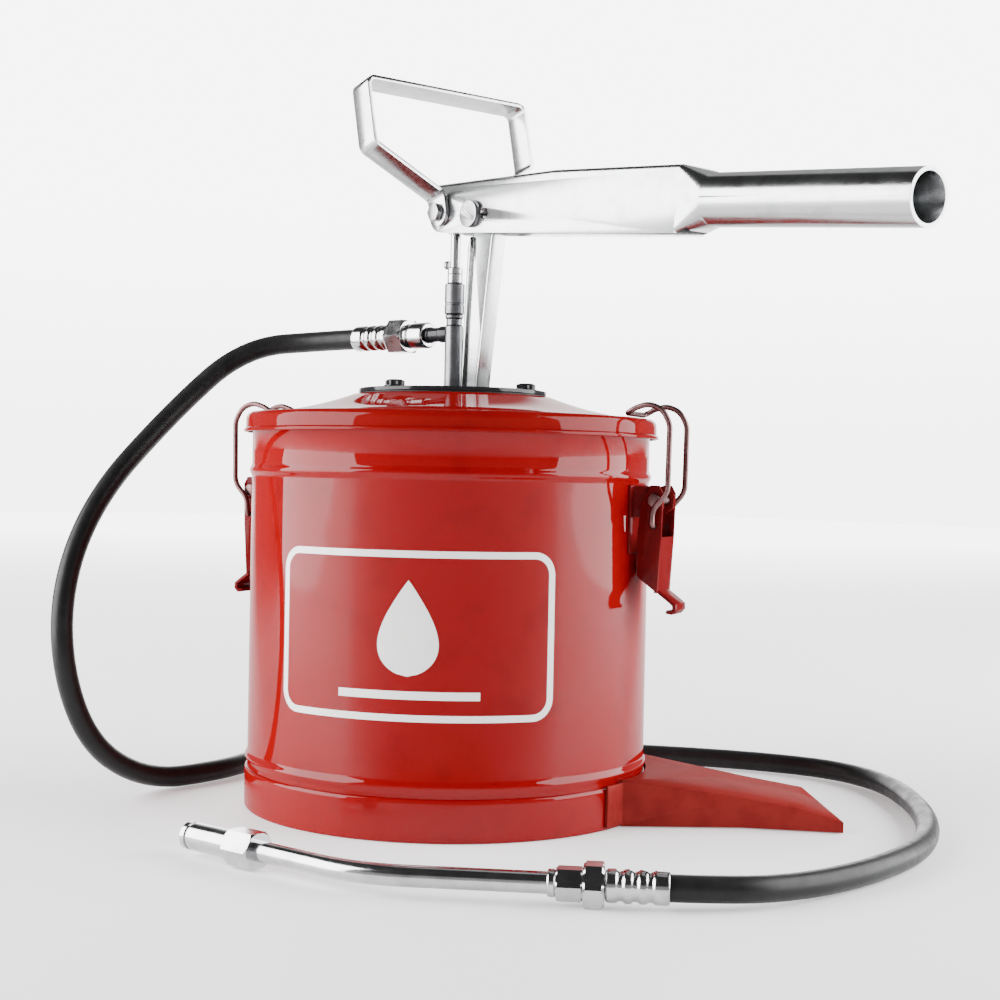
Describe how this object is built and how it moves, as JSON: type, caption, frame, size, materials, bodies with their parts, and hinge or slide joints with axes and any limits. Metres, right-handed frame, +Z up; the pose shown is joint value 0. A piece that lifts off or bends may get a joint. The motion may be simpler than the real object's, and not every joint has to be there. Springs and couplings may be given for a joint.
{
  "type": "bucket grease and oil pump",
  "caption": "Lever-operated piston pump bolted through the latched lid of a round steel pail, with a foot step, carrying loop, rubber discharge hose and bent pipe.",
  "frame": {"origin": "centre of the pail's base on the floor plane", "axes": "+Z up; +X along the pump lever towards its grip; +Y across the lever"},
  "size_m": [0.5237, 0.4726, 0.4349],
  "materials": {
    "red_paint": "gloss red enamel on pressed steel",
    "latch_paint": "red enamel, thinner and duller on the toggles",
    "latch_wire": "tinned spring wire, dulled",
    "black_steel": "black enamel",
    "dark_steel": "dark phosphated steel",
    "bright_zinc": "bright zinc plate on pressed steel",
    "zinc_fasteners": "zinc plate",
    "chrome": "bright chrome",
    "valve_steel": "machined steel",
    "valve_brass": "machined brass",
    "hose_rubber": "smooth black rubber cover",
    "seal_rubber": "nitrile rubber"
  },
  "bodies": {
    "pail": {"pail_shell": "red_paint", "pail_base": "red_paint", "foot_pedal": "red_paint", "lid": "red_paint", "latch_brackets": "latch_paint", "latch_pins": "latch_wire", "flange_plate": "black_steel", "flange_bolts": "black_steel", "outlet_nipple": "black_steel", "riser_tube": "dark_steel", "gland_nut": "dark_steel", "barrel_head": "dark_steel", "post": "bright_zinc", "pivot_bush": "bright_zinc", "flange_nuts": "zinc_fasteners", "collar_screw": "zinc_fasteners", "spring_cross_pin": "zinc_fasteners", "gland_collar": "chrome", "outlet_coupler": "chrome", "outlet_swivel_nut": "chrome", "outlet_ferrule": "chrome", "nozzle_ferrule": "chrome", "nozzle_swivel_nut": "chrome", "nozzle_adapter": "chrome", "nozzle_pipe": "chrome", "coupler_nut": "chrome", "coupler_body": "chrome", "barrel_tube": "valve_steel", "foot_valve_ball": "valve_steel", "foot_valve_spring": "valve_steel", "coupler_jaws": "valve_steel", "foot_valve_body": "valve_brass", "inlet_strainer": "valve_brass", "hose": "hose_rubber", "lid_gasket": "seal_rubber", "flange_gasket": "seal_rubber", "gland_packing": "seal_rubber", "coupler_seal": "seal_rubber"},
    "piston_rod": {"piston_rod": "chrome", "rod_eye": "valve_steel", "rod_bolt": "zinc_fasteners", "rod_bolt_nut": "zinc_fasteners", "piston": "valve_steel", "piston_ball": "valve_steel", "piston_ring": "seal_rubber"},
    "lever": {"lever_arm": "bright_zinc", "lever_pin": "zinc_fasteners", "lever_pin_ring": "zinc_fasteners"},
    "carry_handle": {"carry_handle": "bright_zinc"},
    "latch_toggle_right": {"latch_toggle_right": "latch_paint"},
    "latch_bail_right": {"latch_bail_right": "latch_wire"},
    "latch_toggle_left": {"latch_toggle_left": "latch_paint"},
    "latch_bail_left": {"latch_bail_left": "latch_wire"}
  },
  "joints": [
    {"name": "lever_swing", "type": "hinge", "parent": "pail", "child": "lever", "pos_m": [0.03, 0, 0.3532], "axis": [0, -1, 0], "range_deg": [0, 35]},
    {"name": "piston_stroke", "type": "slide", "parent": "pail", "child": "piston_rod", "axis": [0, 0, -1], "range_m": [0, 0.0193]},
    {"name": "carry_handle_swing", "type": "hinge", "parent": "piston_rod", "child": "carry_handle", "pos_m": [0, 0, 0.357], "axis": [0, 1, 0], "range_deg": [-57, 43]},
    {"name": "latch_right", "type": "hinge", "parent": "pail", "child": "latch_toggle_right", "pos_m": [0.11832, 0.06291, 0.187], "axis": [0.4695, -0.8829, 0], "range_deg": [0, 110]},
    {"name": "bail_right", "type": "hinge", "parent": "latch_toggle_right", "child": "latch_bail_right", "pos_m": [0.11832, 0.06291, 0.172], "axis": [0.4695, -0.8829, 0], "range_deg": [-150, 0]},
    {"name": "latch_left", "type": "hinge", "parent": "pail", "child": "latch_toggle_left", "pos_m": [-0.11832, -0.06291, 0.187], "axis": [-0.4695, 0.8829, 0], "range_deg": [0, 55]},
    {"name": "bail_left", "type": "hinge", "parent": "latch_toggle_left", "child": "latch_bail_left", "pos_m": [-0.11832, -0.06291, 0.172], "axis": [-0.4695, 0.8829, 0], "range_deg": [-75, 0]}
  ],
  "couplings": [
    {"joint": "piston_stroke", "follows": "lever_swing", "m_per_rad": 0.0315},
    {"joint": "bail_right", "follows": "latch_right", "ratio": -1.35},
    {"joint": "bail_left", "follows": "latch_left", "ratio": -1.35}
  ]
}
